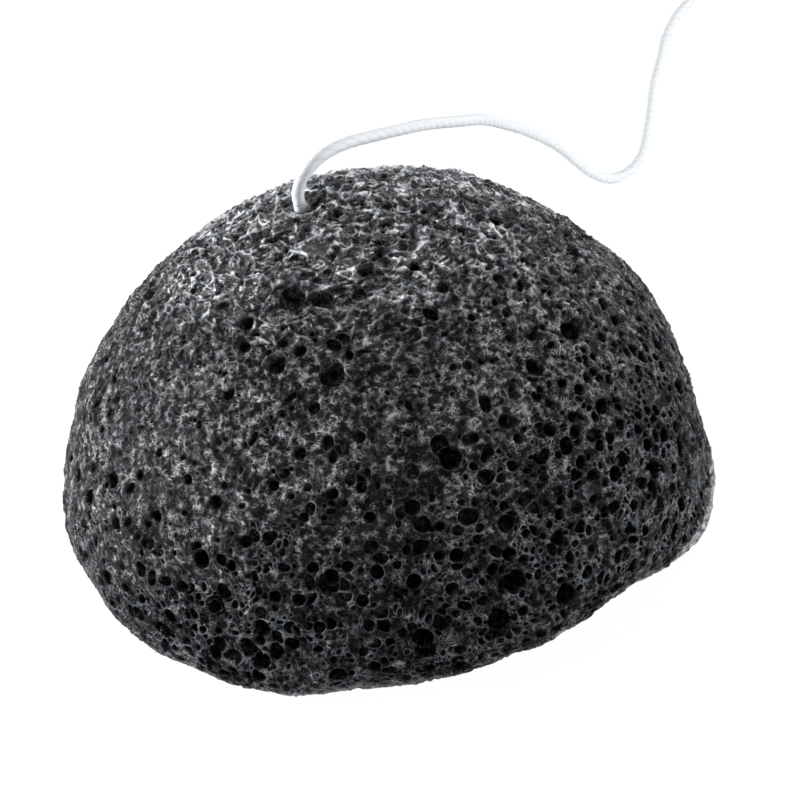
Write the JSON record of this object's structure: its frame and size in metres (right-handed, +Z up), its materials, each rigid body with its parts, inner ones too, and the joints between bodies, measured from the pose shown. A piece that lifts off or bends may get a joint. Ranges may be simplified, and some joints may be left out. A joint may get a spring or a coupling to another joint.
{
  "type": "konjac sponge",
  "caption": "Dome-shaped dark foam facial sponge on a flat base, threaded on a white cotton cord that is knotted under the base and ends in a knotted hanging loop.",
  "frame": {"origin": "middle of the flat base, on the surface that the sponge stands on", "axes": "+Z up through the dome, +X to the right of the picture's view, +Y away from the camera, towards the side where the cord comes down"},
  "size_m": [0.1382, 0.2611, 0.0526],
  "materials": {
    "konjac_foam": "moist open-cell vegetable foam, charcoal grey",
    "cotton_cord": "twisted white cotton cord, lightly waxed"
  },
  "bodies": {
    "sponge": {"sponge_body": "konjac_foam"},
    "cord": {"cord_core": "cotton_cord", "stopper_knot": "cotton_cord", "cord_free": "cotton_cord", "loop_knot": "cotton_cord", "hanging_loop": "cotton_cord"}
  },
  "joints": [
    {"name": "cord_swivel", "type": "hinge", "parent": "sponge", "child": "cord", "pos_m": [-0.00575, 0, 0.03], "axis": [0, 0, 1], "continuous": true}
  ]
}
